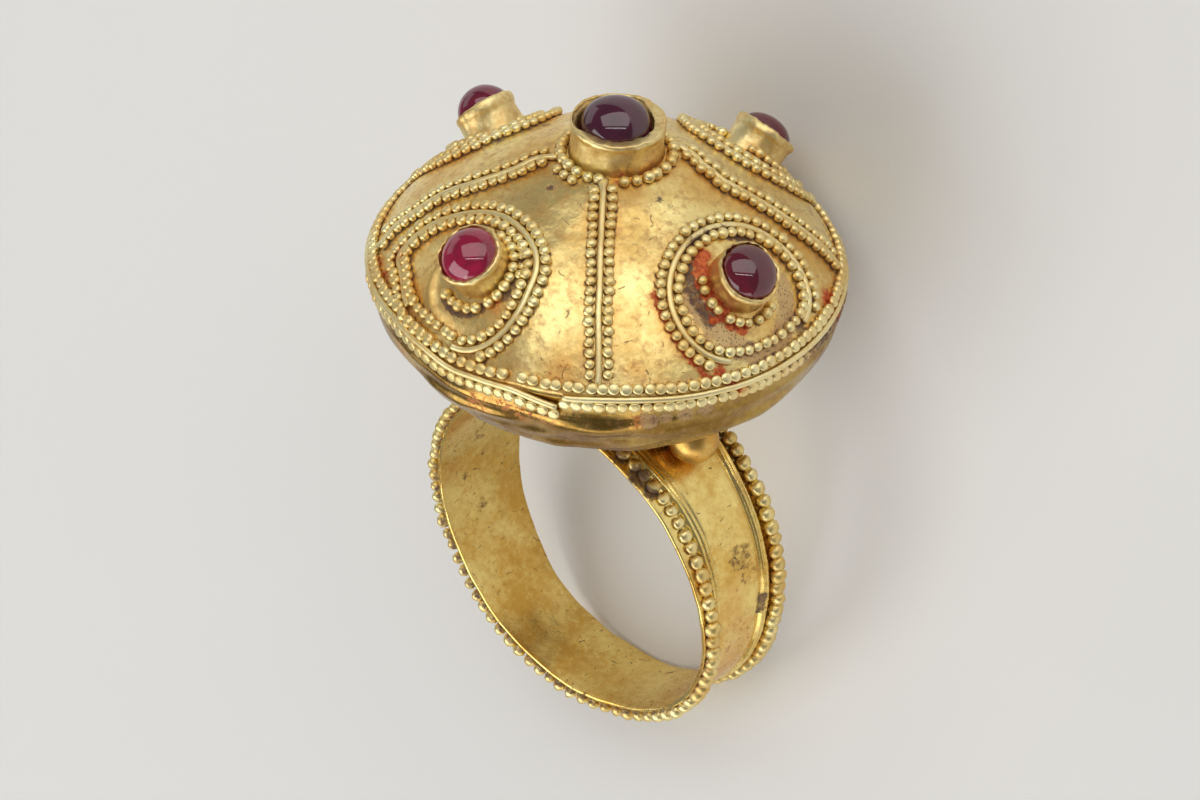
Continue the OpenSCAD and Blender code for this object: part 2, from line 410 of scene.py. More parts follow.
rnd = random.Random(4)
edge_beads = bmesh.new()
for side in (1, -1):
    degrees = edge_first
    while degrees < edge_last:
        angle = math.radians(degrees + rnd.uniform(-0.35, 0.35))
        if side > 0:
            below = ramp(degrees, 140, 170) * ramp(degrees, 275, 240)
            y = strap_half - edge_grain_in - 0.10 * below + 0.16 * ramp(degrees, 205, 235)
        else:
            below = ramp(degrees, 112, 150) * ramp(degrees, 268, 236)
            y = 0.04 - 0.18 * below - (strap_half - edge_grain_in)
        degrees += edge_pitch + (0.35 if side > 0 else -0.25) * below
        extra = rim_extra(angle, side)
        size = edge_grain * (1 + 0.16 * below) * rnd.uniform(0.90, 1.10)
        y += rnd.uniform(-0.03, 0.03)
        spot = on_hoop(angle, y, strap_r + edge_grain_rise - 0.30 * extra
                       + rnd.uniform(-0.03, 0.02))
        out = hoop_turn @ Vector((math.cos(angle), 0, math.sin(angle)))
        along = hoop_turn @ Vector((-math.sin(angle), 0.25 * side, math.cos(angle)))
        high = size * (0.94 - 0.5 * extra)
        bead(edge_beads, spot, out, along, (size * 0.98, size * 1.02, high), rnd, 0.20, 0.8)
edge_gold = gold_finish("edge_granule_gold", colour(252, 234, 168), colour(230, 196, 118), 0.40,
                        grain=0.012)
finish(edge_beads, "hoop_granules", edge_gold)


# Shoulder balls
# A hollow ball of thin gold sheet sits in each corner between hoop and bezel, soldered to both.
# It is dented a little, as the sheet round it is.
ball_r = 1.3
ball_turn = math.radians(31.8)
ball_aside, ball_rise = 0.1, 0.12
balls = bmesh.new()
for side in (-1, 1):
    reach = strap_r + 0.9 * ball_r
    spot = hoop_middle + Vector((side * reach * math.sin(ball_turn), ball_aside,
                                 reach * math.cos(ball_turn) + ball_rise))
    bmesh.ops.create_uvsphere(balls, u_segments=48, v_segments=32, radius=ball_r,
                              matrix=Matrix.Translation(spot))
for v in balls.verts:
    v.co += v.co.normalized() * 0.05 * noise.noise(v.co * 0.9)
ball_gold = gold_finish("ball_gold", colour(244, 212, 128), colour(220, 168, 84), 0.34,
                        grain=0.008, pits=0.8)
finish(balls, "shoulder_balls", ball_gold)


# Bowl of the bezel
# The underside of the bezel is one sheet raised to a deep bowl with a plain upright band at its
# rim. It has been pushed out of true on one side, and its sheet lies there in soft folds.
border_r = 12.1
sheet = 0.4
band_h = 1.25
bowl_h = 7.4
bowl_edge = 12.0
bowl_fullness = 1.7
bowl_steps = 90
bowl_rounds = 288
folded_turn = math.radians(132)
swell_out, fold_out, crease_in, ripple_out = 0.65, 0.45, 0.08, 0.034
pressed_behind, pressed_right = math.radians(-47), math.radians(216)
behind_in, right_in = 0.45, 0.38
rim_dips = (
    # degrees round the bezel, and how far its rim lies above true there
    (0, 0.0), (58, 0.0), (74, 0.12), (84, -0.12), (95, -0.42), (103, -0.30), (113, -0.03),
    (141, 0.05), (168, -0.07), (200, 0.0), (360, 0.0),
)


def rim_pull(turn):
    """How far the rim stands out or in from a true circle: it has been pressed in twice."""
    behind = max(0.0, math.cos(turn - pressed_behind))
    right = max(0.0, math.cos(turn - pressed_right))
    return -behind_in * behind - right_in * right ** 4


def bowl_fold(turn, depth):
    """Outward shift of the bowl's sheet, in millimetres, by turn and by depth below the rim."""
    near = max(0.0, math.cos(turn - folded_turn))
    low = min(1, max(0, (depth - band_h) / (bowl_h - band_h)))
    swell = swell_out * near ** 2 * math.sin(math.pi * low) ** 1.2
    at = Vector((3.0 * math.cos(turn), 3.0 * math.sin(turn), depth * 0.9))
    fine = Vector((8 * math.cos(turn), 8 * math.sin(turn), depth * 1.3))
    below = min(1, max(0, depth - band_h))
    folds = (fold_out * near * noise.noise(at) + 0.10 * near * noise.noise(fine)) * below
    dents = 0.12 * noise.noise(Vector((1.4 * math.cos(turn), 1.4 * math.sin(turn), depth * 0.4)))
    crease_at = 1.30 + 0.2 * noise.noise(Vector((2 * math.cos(turn), 2 * math.sin(turn), 4)))
    crease = -crease_in * math.exp(-((depth - crease_at) / 0.10) ** 2) * (0.3 + 0.7 * near)
    ripple = ripple_out * near * below * math.sin(6.5 * depth + 4 * noise.noise(at * 0.6))
    return swell + folds + dents * min(1, depth) + crease + ripple


def spun(outline, rounds):
    """A shape turned round the Z axis, from points that give a distance out and a height."""
    bm = bmesh.new()
    points = [bm.verts.new((out, 0, z)) for out, z in outline]
    edges = [bm.edges.new(pair) for pair in zip(points, points[1:])]
    bmesh.ops.spin(bm, geom=points + edges, cent=(0, 0, 0), axis=(0, 0, 1),
                   angle=math.tau, steps=rounds, use_merge=True)
    bmesh.ops.remove_doubles(bm, verts=bm.verts, dist=0.002)
    return bm


def finish_sheet(bm, name, material, way_up):
    """Finishes half of the bezel: its faces outwards, and its wall inwards from them."""
    bmesh.ops.recalc_face_normals(bm, faces=bm.faces)
    if way_up * sum(f.normal.z * f.calc_area() for f in bm.faces) < 0:
        bmesh.ops.reverse_faces(bm, faces=bm.faces)
    piece = finish(bm, name, material)
    wall = piece.modifiers.new("sheet", "SOLIDIFY")
    wall.thickness = sheet * millimetre
    wall.offset = -1
    return piece


outline = [(border_r - 0.02, -0.05), (border_r - 0.03, -0.25), (border_r - 0.05, -0.45),
           (border_r - 0.07, -0.65)]
for i in range(bowl_steps + 1):
    share = math.sin(0.5 * math.pi * i / bowl_steps)
    radius = bowl_edge * max(0.0, 1 - share ** bowl_fullness) ** (1 / bowl_fullness)
    outline.append((radius, -band_h - (bowl_h - band_h) * share))
bowl = spun(outline, bowl_rounds)
for v in bowl.verts:
    wide = math.hypot(v.co.x, v.co.y)
    if wide > 0.01:
        turn = math.atan2(v.co.y, v.co.x)
        low = max(0.0, 1 + v.co.z / bowl_h)
        push = rim_pull(turn) * low
        if v.co.z < -0.3:
            push += bowl_fold(turn, -v.co.z) * min(1, wide / 3)
        v.co.x *= 1 + push / wide
        v.co.y *= 1 + push / wide
        v.co.z += eased(rim_dips, math.degrees(turn) % 360) * low ** 3
# The bowl's gold is darker than the other golds: painted shade for the dark reflections in the
# bowl.
bowl_shaded_gold = gold_finish("bowl_shaded_gold", colour(196, 164, 90), colour(138, 102, 44), 0.24,
                        grain=0.006, mottle=0.6, pits=0.8)
finish_sheet(bowl, "bezel_bowl", bowl_shaded_gold, -1)


# Dome of the bezel
# The top of the bezel is a second sheet, raised to a low dome and soldered to the bowl's rim. It
# is full of small dents, swells under the middle collet, and a stiff fold runs round one collet.
dome_h = 6.3
dome_r = (border_r ** 2 + dome_h ** 2) / (2 * dome_h)
dome_middle = Vector((0, 0, dome_h - dome_r))
dome_edge = math.asin(border_r / dome_r)
fold_turn = math.radians(87.5)
collet_away = 8.89
fold_r = 2.45
dome_steps = 84
dome_rounds = 336


def dome_dent(x, y):
    """How far the dome's sheet lies above a true sphere, in millimetres."""
    away = math.hypot(x, y)
    dents = (0.17 * noise.noise(Vector((x / 5.5, y / 5.5, 2.0)))
             + 0.09 * noise.noise(Vector((x / 2.3, y / 2.3, 5.0)))
             + 0.025 * noise.noise(Vector((x / 0.9, y / 0.9, 9.0))))
    swell = 0.32 * ramp(away, 5.8, 3.0)
    out = x * math.cos(fold_turn) + y * math.sin(fold_turn) - collet_away
    aside = y * math.cos(fold_turn) - x * math.sin(fold_turn)
    reach = math.hypot(out, aside) - fold_r
    faced = ramp(math.cos(math.atan2(aside, out) + math.radians(28)), 0.25, 0.9)
    fold = 0.15 * math.exp(-(reach / (0.24 if reach < 0 else 0.50)) ** 2)
    return dents * max(0.0, 1 - (away / border_r) ** 6) + swell + fold * faced


def on_dome(x, y, lift=0.0):
    """The place over a point of the ring's plan, at a height over the dome's sheet."""
    wide = min(math.hypot(x, y), 0.999 * dome_r)
    out = Vector((x, y, math.sqrt(dome_r ** 2 - wide ** 2))).normalized()
    spot = dome_middle + out * (dome_r + dome_dent(x, y) + lift)
    turn = math.atan2(y, x)
    pull = rim_pull(turn) * (wide / border_r) ** 4
    spot.x += pull * math.cos(turn)
    spot.y += pull * math.sin(turn)
    spot.z += eased(rim_dips, math.degrees(turn) % 360) * ramp(wide, 8.6, 12.1)
    return spot


outline = []
for i in range(dome_steps + 1):
    angle = dome_edge * i / dome_steps
    outline.append((dome_r * math.sin(angle), dome_r * math.cos(angle)))
dome = spun(outline, dome_rounds)
for v in dome.verts:
    v.co = on_dome(v.co.x, v.co.y)
dome_gold = gold_finish("dome_gold", colour(252, 230, 158), colour(230, 190, 112), 0.36,
                        grain=0.016, mottle=0.65, hairs=0.6, pits=0.8)
dome_piece = finish_sheet(dome, "bezel_dome", dome_gold, 1)


# Border of the bezel
# A plain wire covers the joint of dome and bowl, with a row of granules above and one below. The
# wire's two ends pass each other at one place, one a little lower than the other.
border_wire_wide, border_wire_high = 0.34, 0.32
grain_d = 0.56
border_joint = 122.4
wire_first, wire_span = border_joint + 1.2, 358.9
left_end_sink, left_end_span = 0.62, 19
border_pitch = 0.565
border_gap = (-11.6, -9.4)
bead_centres = []


def frames_along(path, up_at):
    """A frame at each point of a path: its Z along the path and its Y away from the sheet."""
    frames = []
    for i, spot in enumerate(path):
        along = (path[min(i + 1, len(path) - 1)] - path[max(i - 1, 0)]).normalized()
        out = up_at(spot)
        side = out.cross(along).normalized()
        turned = Matrix((side, along.cross(side), along)).transposed().to_4x4()
        turned.translation = spot
        frames.append(turned)
    return frames


def wire(bm, path, up_at, wide, high=None, sides=10, ends=(1.0, 1.0)):
    """A wire drawn along a path, with closed ends that may be hammered wider."""
    frames = frames_along(path, up_at)
    last = len(frames) - 1
    for i, turned in enumerate(frames):
        swell = 1 + (ends[0] - 1) * ramp(i, 4, 0) + (ends[1] - 1) * ramp(i, last - 4, last)
        frames[i] = turned @ Matrix.Diagonal((swell * wide / 2, (high or wide) / 2, 1, 1))
    ring = bmesh.ops.create_circle(bm, cap_ends=False, segments=sides, radius=1,
                                   matrix=frames[0])["verts"]
    edges = list({edge for v in ring for edge in v.link_edges})
    open_ends = [edges]
    for before, after in zip(frames, frames[1:]):
        grown = bmesh.ops.extrude_edge_only(bm, edges=edges)["geom"]
        ring = [part for part in grown if isinstance(part, bmesh.types.BMVert)]
        edges = [part for part in grown if isinstance(part, bmesh.types.BMEdge)]
        bmesh.ops.transform(bm, matrix=after @ before.inverted(), verts=ring)
    open_ends.append(edges)
    for end in open_ends:
        bmesh.ops.holes_fill(bm, edges=end, sides=0)


def out_of_dome(spot):
    return (spot - dome_middle).normalized()


def sideways(spot):
    return Vector((spot.x, spot.y, 0)).normalized()


def on_border(degrees, out, height):
    """A place beside the border: out from its circle and above it, both in millimetres."""
    turn = math.radians(degrees)
    radius = border_r + rim_pull(turn) + out
    waver = 0.05 * noise.noise(Vector((5 * math.cos(turn), 5 * math.sin(turn), 3)))
    return Vector((radius * math.cos(turn), radius * math.sin(turn),
                   height + waver + eased(rim_dips, degrees % 360)))


def border_sink(joint):
    """How far the border's left end lies below its circle, this many degrees from the joint."""
    return -left_end_sink * max(0.0, 1 + joint / left_end_span) ** 1.3


rnd = random.Random(11)
border_wire = bmesh.new()
path = []
for i in range(361):
    degrees = wire_first + wire_span * i / 360
    height = -0.08 * ramp(i, 12, 0) + border_sink(i - 360)
    path.append(on_border(degrees, 0.12 + 0.10 * ramp(i, 349, 360), height))
wire(border_wire, path, sideways, border_wire_wide, border_wire_high, 12)
bmesh.ops.recalc_face_normals(border_wire, faces=border_wire.faces)
wire_gold = gold_finish("wire_gold", colour(252, 238, 184), colour(238, 212, 146), 0.44,
                        grain=0.005)
finish(border_wire, "border_wire", wire_gold)

border_beads = bmesh.new()
border_rows = (
    # out of the circle and above it, width along, upright and outward sizes, flat share
    (-0.10, 0.48, 0.64, 0.60, 0.56, 0.54),
    (0.10, -0.42, 0.65, 0.60, 0.64, 0.44),
)
for out, height, long, high, thick, worn in border_rows:
    count = round(math.tau * (border_r + out) / border_pitch)
    for i in range(count):
        degrees = 360 * (i + rnd.uniform(-0.10, 0.10)) / count
        joint = (degrees - border_joint + 180) % 360 - 180
        if height > 0 and border_gap[0] < joint < border_gap[1]:
            continue
        sink = 0.95 * border_sink(joint) * (height < 0 and joint < 0.5)
        spot = on_border(degrees, out - 0.25 * sink + rnd.uniform(-0.02, 0.02),
                         height + sink + rnd.uniform(-0.02, 0.02))
        along = Vector((-spot.y, spot.x, 0)).normalized()
        up = out_of_dome(spot) if height > 0 else sideways(spot)
        size = rnd.uniform(0.93, 1.08)
        bead(border_beads, spot, up, along, (long * size, high * size, thick * size), rnd, 0.08,
             worn)
        bead_centres.append(spot)
grain_gold = gold_finish("granule_gold", colour(253, 238, 180), colour(234, 202, 128), 0.42,
                         grain=0.012)
finish(border_beads, "border_granules", grain_gold)


# Ribs of the dome
# Four ribs run down from the middle collet to the border: a wire with a row of granules on each
# side, laid by hand, so that none is straight.
row_step = 0.45
row_rise = 0.33
row_worn = 0.70
rib_pitch = 0.515
rib_grain = 0.97 * grain_d
rib_start, hammered_start, rib_end = 2.85, 2.55, 11.78
rib_steps = 60
row_end = 11.45
wire_wide, wire_high = 0.37, 0.28
wire_lift = 0.12
rib_bends = (
    # turn, how wide its upper end is hammered, then distances from the middle and sideways shifts
    (132.5, 1.9, (2.3, -0.60), (3.7, -0.52), (6.0, -0.49), (8.8, -0.40), (11.7, -0.20)),
    (42.5, 1.0, (2.7, 0.60), (3.8, 0.47), (5.0, 0.70), (6.7, 0.79), (8.7, 0.58), (10.6, 0.60),
     (11.7, 1.1)),
    (-137.5, 1.0, (2.7, 0.95), (3.5, 0.55), (4.4, -0.15), (5.4, -0.55), (7.5, -0.68),
     (8.8, -0.72), (11.7, -0.3)),
    (-47.5, 1.0, (2.7, 0.1), (7.0, -0.1), (11.7, 0.1)),
)


def on_plan(spot, lift=0.0):
    return on_dome(spot.x, spot.y, lift)


def beside(path, aside):
    """A plan path that runs this far to the side of another, measured on the dome."""
    moved = []
    for i, spot in enumerate(path):
        before = on_plan(path[max(i - 1, 0)])
        after = on_plan(path[min(i + 1, len(path) - 1)])
        out = out_of_dome(on_plan(spot))
        step = (after - before).cross(out).normalized() * aside
        moved.append(Vector((spot.x + step.x, spot.y + step.y, 0)))
    return moved


def surface_row(bm, path, pitch, size, rnd, keep=None):
    """Granules a pitch apart on the dome itself, along a plan path."""
    spots = [on_plan(spot) for spot in path]
    walked = 0.0
    wanted = pitch / 2
    for i in range(len(path) - 1):
        long = (spots[i + 1] - spots[i]).length
        while long > 0 and walked + long >= wanted:
            share = (wanted - walked) / long + rnd.uniform(-0.07, 0.07) * pitch / long
            wanted += pitch
            spot = path[i].lerp(path[i + 1], share)
            if keep and not keep(spot):
                continue
            big = size * rnd.uniform(0.92, 1.10)
            along = (spots[i + 1] - spots[i]).normalized()
            spot = on_plan(spot, row_rise * big + rnd.uniform(-0.02, 0.02))
            up = out_of_dome(spot)
            spot = spot + along.cross(up) * rnd.uniform(-0.03, 0.03)
            bead(bm, spot, up, along, (big, big, big * 0.94), rnd, 0.08, row_worn)
            bead_centres.append(spot)
        walked += long


rnd = random.Random(21)
rib_wires = bmesh.new()
rib_beads = bmesh.new()
for turn, head, *bends in rib_bends:
    turn = math.radians(turn)
    out = Vector((math.cos(turn), math.sin(turn), 0))
    aside = Vector((-math.sin(turn), math.cos(turn), 0))
    start = hammered_start if head > 1 else rib_start
    path = []
    for i in range(rib_steps + 1):
        away = start + (rib_end - start) * i / rib_steps
        path.append(out * away + aside * eased(bends, away))
    wire(rib_wires, [on_plan(spot, wire_lift) for spot in path], out_of_dome, wire_wide,
         wire_high, ends=(head, 1.0))
    for side in (-1, 1):
        surface_row(rib_beads, beside(path[3:], side * row_step), rib_pitch, rib_grain, rnd,
                    lambda spot: math.hypot(spot.x, spot.y) < row_end)
bmesh.ops.recalc_face_normals(rib_wires, faces=rib_wires.faces)
finish(rib_wires, "rib_wires", wire_gold)
finish(rib_beads, "rib_granules", grain_gold)


# Loops round the outer collets
# A horseshoe of wire stands round each outer collet, open towards the border. One row of granules
# lies outside it and one inside, and the inner row closes along the border.
loop_shapes = (
    # turn, distance from the middle, sideways shift, half sizes along and across, twist, then the
    # sideways limits of the wire's two ends, how far out it reaches, how much less on its left and
    # how much narrower it is low on its right
    (177.5, 9.11, 0.13, 2.84, 4.13, -1, -2.45, 2.75, 11.60, 0.0, 0.0),
    (87.5, 9.50, -0.73, 2.93, 4.50, 4, -2.35, 1.05, 11.58, 0.62, 0.115),
    (267.5, 8.97, -0.51, 2.90, 3.45, -12, -3.0, 3.0, 11.50, 0.0, 0.0),
    (-2.5, 9.64, 0.11, 3.00, 3.45, 1.5, -3.0, 3.0, 11.50, 0.0, 0.0),
)
loop_pitch = 0.55
beside_wire = 0.28
outer_reach = 11.55
ends_out = 10.4
opening_turn = 20


def held(local, limit, less):
    """A plan point of a loop, drawn in softly where it would run over the border."""
    limit -= less * ramp(-local.y, 2.2, 5.2) - 0.06
    reach = limit - 0.3 * math.log(1 + math.exp((limit - local.length) / 0.3))
    return local * (reach / local.length)


rnd = random.Random(31)
loop_wires = bmesh.new()
loop_beads = bmesh.new()
for (turn, away, aside, along_half, across_half, twist, first, last, reach, less,
     flat) in loop_shapes:
    facing = Matrix.Rotation(math.radians(turn), 3, "Z")
    turned = Matrix.Rotation(math.radians(twist), 3, "Z")
    oval = []
    for i in range(361):
        angle = math.radians(opening_turn + i)
        narrow = 1 - flat * ramp(math.cos(angle), -0.9, -0.2) * (math.sin(angle) > 0)
        oval.append(Vector((away, aside, 0))
                    + turned @ Vector((along_half * math.cos(angle),
                                       narrow * across_half * math.sin(angle), 0)))
    wide_oval, small_oval = ([facing.inverted() @ spot for spot in beside(
        [facing @ spot for spot in oval], step)] for step in (row_step, -row_step))
    drawn = [held(spot, reach, less) for spot in oval]
    drawn = [spot for spot in drawn if spot.x < ends_out or not first < spot.y < last]
    outer = [held(spot, reach + beside_wire, less) for spot in wide_oval
             if spot.length < outer_reach + 2 * flat or (less and spot.y < 0.6)]
    inner = [held(spot, reach - beside_wire, less) for spot in small_oval]
    wire(loop_wires, [on_plan(facing @ spot, wire_lift) for spot in drawn], out_of_dome,
         wire_wide, wire_high)
    for row in (outer, inner):
        surface_row(loop_beads, [facing @ spot for spot in row], loop_pitch, grain_d, rnd)
bmesh.ops.recalc_face_normals(loop_wires, faces=loop_wires.faces)
finish(loop_wires, "loop_wires", wire_gold)
finish(loop_beads, "loop_granules", grain_gold)


# Collets
# Five short tubes of gold sheet hold the stones. Each stands on the dome in a ring of granules,
# and its burnished lip is pressed unevenly over the edge of its stone.
collets = (
    # name, turn, lean, extra tip, outer radius, height, wall, the lip's thin and thick parts, and
    # how far it rises on the side towards the ring's middle
    ("middle", 0.0, 0.0, 0.0, 2.4, 1.8, 0.36, 0.18, 0.66, 0.0),
    ("a", -4.5, 39.0, 8.0, 1.62, 1.35, 0.16, 0.13, 0.18, 0.16),
    ("b", 87.5, 37.0, 0.0, 1.66, 1.4, 0.16, 0.10, 0.26, 0.0),
    ("c", 177.5, 37.0, 0.0, 1.65, 1.4, 0.16, 0.11, 0.20, 0.0),
    ("d", 267.5, 41.5, 4.0, 1.66, 1.30, 0.22, 0.16, 0.30, 0.10),
)
thick_side = math.radians(174)
viewed_side = math.radians(132.9)
lip_corners = math.radians(52), math.radians(214)
front_rib, front_rib_half = 133, 6
collet_rounds = 96


def stands(turn, lean, tip=0.0):
    """The frame of a collet: from the top of the dome down to where it stands."""
    frame_of = (Matrix.Rotation(math.radians(turn), 4, "Z") @ Matrix.Translation(dome_middle)
                @ Matrix.Rotation(math.radians(lean), 4, "Y") @ Matrix.Translation((0, 0, dome_r)))
    foot = frame_of.translation
    rise = dome_dent(foot.x, foot.y)
    return frame_of @ Matrix.Rotation(math.radians(tip), 4, "Y") @ Matrix.Translation((0, 0, rise))


collet_gold = gold_finish("collet_gold", colour(250, 232, 170), colour(228, 190, 118), 0.42,
                          grain=0.016, mottle=0.35, pits=0.6)
for which, (name, turn, lean, tip, radius, high, wall, thin, thick, rise) in enumerate(collets):
    seed = 3.0 + 5 * which
    bore = radius - wall
    outline = [(radius - 0.02, -0.35), (radius - 0.04, 0.1), (radius - 0.06, 0.35 * high),
               (radius - 0.05, 0.6 * high), (radius - 0.01, high - 0.42),
               (radius + 0.03, high - 0.30), (radius + 0.03, high - 0.18),
               (radius, high - 0.07), (radius - 0.05, high - 0.01),
               (radius - 0.5 * thin, high), (radius - thin, high - 0.03),
               (radius - thin - 0.02, high - 0.10), (bore, high - 0.25), (bore, 0.5 * high),
               (bore, 0.15), (0.6 * bore, 0.12), (0.0, 0.12)]
    tube = spun(outline, collet_rounds)
    bmesh.ops.subdivide_edges(tube, edges=tube.edges, cuts=1, use_grid_fill=True)
    facing = math.radians(turn)
    for v in tube.verts:
        wide = math.hypot(v.co.x, v.co.y)
        if wide < bore - 0.1:
            continue
        angle = math.atan2(v.co.y, v.co.x)
        round_at = Vector((math.cos(angle), math.sin(angle), seed))
        share = max(0.0, v.co.z / high)
        lip = ramp(share, 0.70, 0.95)
        push = (0.06 * noise.noise(round_at * 1.3 + Vector((0, 0, v.co.z)))
                + 0.04 * noise.noise(round_at * 4 + Vector((0, 0, 2 * v.co.z))))
        inner = ramp(wide, radius - 0.3 * thin, radius - 0.95 * thin)
        side_now = 0.5 + 0.5 * math.cos(angle + facing - thick_side)
        thicker = (thick - thin) * ramp(side_now, 0.15, 0.7)
        push -= inner * lip * thicker
        push += lip * (0.03 + 0.07 * inner) * noise.noise(round_at * 4.5)
        if name == "middle":
            corner = max(math.cos(angle - corner_turn) for corner_turn in lip_corners)
            push += 0.12 * inner * lip * ramp(corner, 0.86, 1.0)
            rounded = math.exp(-((v.co.z - high + 0.26) / 0.22) ** 2)
            push += (1 - inner) * rounded * (0.05 * noise.noise(round_at * 3.2) - 0.02)
        v.co.x *= 1 + push / wide
        v.co.y *= 1 + push / wide
        v.co.z += lip * (0.08 * noise.noise(round_at * 2.2) + 0.05 * noise.noise(round_at * 6))
        v.co.z -= rise * lip * math.cos(angle) + 0.12 * inner * lip * thicker
        if name == "middle":
            v.co.z -= 0.16 * lip * max(-0.2, math.cos(angle - viewed_side))
    bmesh.ops.recalc_face_normals(tube, faces=tube.faces)
    tube.transform(stands(turn, lean, tip))
    finish(tube, "collet_" + name, collet_gold, smooth=60)

rnd = random.Random(41)
ring_rise = 0.32
collet_rings = (
    # turn, lean, radius of the ring, first and last angle round the collet, pitch, size share
    (0.0, 0.0, 2.72, 0, 360, 0.62, 1.05), (0.0, 0.0, 3.24, 72, 106, 0.56, 0.9),
    (-2.5, 40.5, 1.92, -150, 150, 0.54, 1.0), (87.5, 37.0, 1.92, -22, 215, 0.53, 1.0),
    (87.5, 37.0, 2.36, 112, 186, 0.48, 0.78), (177.5, 37.0, 2.00, -118, 48, 0.56, 1.0),
    (267.5, 41.5, 1.92, -150, 150, 0.54, 1.0),
)
ring_beads = bmesh.new()
for turn, lean, radius, first, last, pitch, share in collet_rings:
    count = round(math.radians(last - first) * radius / pitch)
    foot = stands(turn, lean)
    for i in range(count):
        angle = math.radians(first + (last - first) * (i + rnd.uniform(-0.15, 0.15)) / count)
        if radius > 2.5 and abs(math.degrees(angle) - front_rib) < front_rib_half:
            continue
        spot = foot @ Vector((radius * math.cos(angle), radius * math.sin(angle), 0))
        size = share * grain_d * rnd.uniform(0.90, 1.14)
        spot = on_plan(spot, ring_rise * size)
        up = out_of_dome(spot)
        along = up.cross(spot - foot.translation)
        bead(ring_beads, spot, up, along, (size, size, size * 0.95), rnd, 0.12, 0.85)
        bead_centres.append(spot)
finish(ring_beads, "collet_granules", grain_gold)


# Stones
# Five smooth domed garnets, one in each collet. The front left one is a bright magenta red, the
# middle and the front right one a dark purple red.
stones = (
    # name, collet, slot, radius, rise over the rim, shift along X and Y, colour
    ("stone_mid", 0, "garnet_dark", 1.80, 1.05, (0.08, 0.08), colour(96, 12, 56)),
    ("stone_a", 1, "garnet_red", 1.47, 1.10, (0.0, 0.0), colour(150, 16, 60)),
    ("stone_b", 2, "garnet_bright", 1.51, 0.85, (0.0, 0.0), colour(190, 4, 70)),
    ("stone_c", 3, "garnet_dark", 1.50, 0.85, (0.0, 0.0), colour(122, 6, 40)),
    ("stone_d", 4, "garnet_red", 1.42, 0.70, (0.0, 0.0), colour(130, 10, 40)),
)
stone_rounds = 96
crown_steps = 24
girdle_share = 0.72
garnet_bending, garnet_clear = 1.78, 0.45
for which, (name, collet, slot, wide, rise, shift, tint) in enumerate(stones):
    turn, lean, tip = collets[collet][1:4]
    high = collets[collet][5]
    girdle = girdle_share * high
    outline = [(0.0, 0.2), (0.8 * wide, 0.2), (wide, 0.35 * high), (wide, girdle)]
    crown = high + rise - girdle
    for i in range(1, crown_steps + 1):
        angle = 0.5 * math.pi * i / crown_steps
        outline.append((wide * math.cos(angle), girdle + crown * math.sin(angle)))
    stone = spun(outline, stone_rounds)
    for v in stone.verts:
        v.co += v.co * 0.012 * noise.noise(v.co * 0.8 + Vector((5 * which, 0, 0)))
        v.co += Vector((*shift, 0))
    bmesh.ops.recalc_face_normals(stone, faces=stone.faces)
    stone.transform(stands(turn, lean, tip))
    material, shader, place = new_material(name + "_garnet")
    veil = place.noise(0.9, 3.0).step(0.42, 0.62)
    feed(shader, Base_Color=(veil * 0.5).mix(tint, [part * 0.5 for part in tint[:3]] + [1.0]),
         Roughness=0.06 + veil * 0.05, IOR=garnet_bending, Transmission_Weight=garnet_clear)
    finish(stone, name + "_cut", material, node=name)
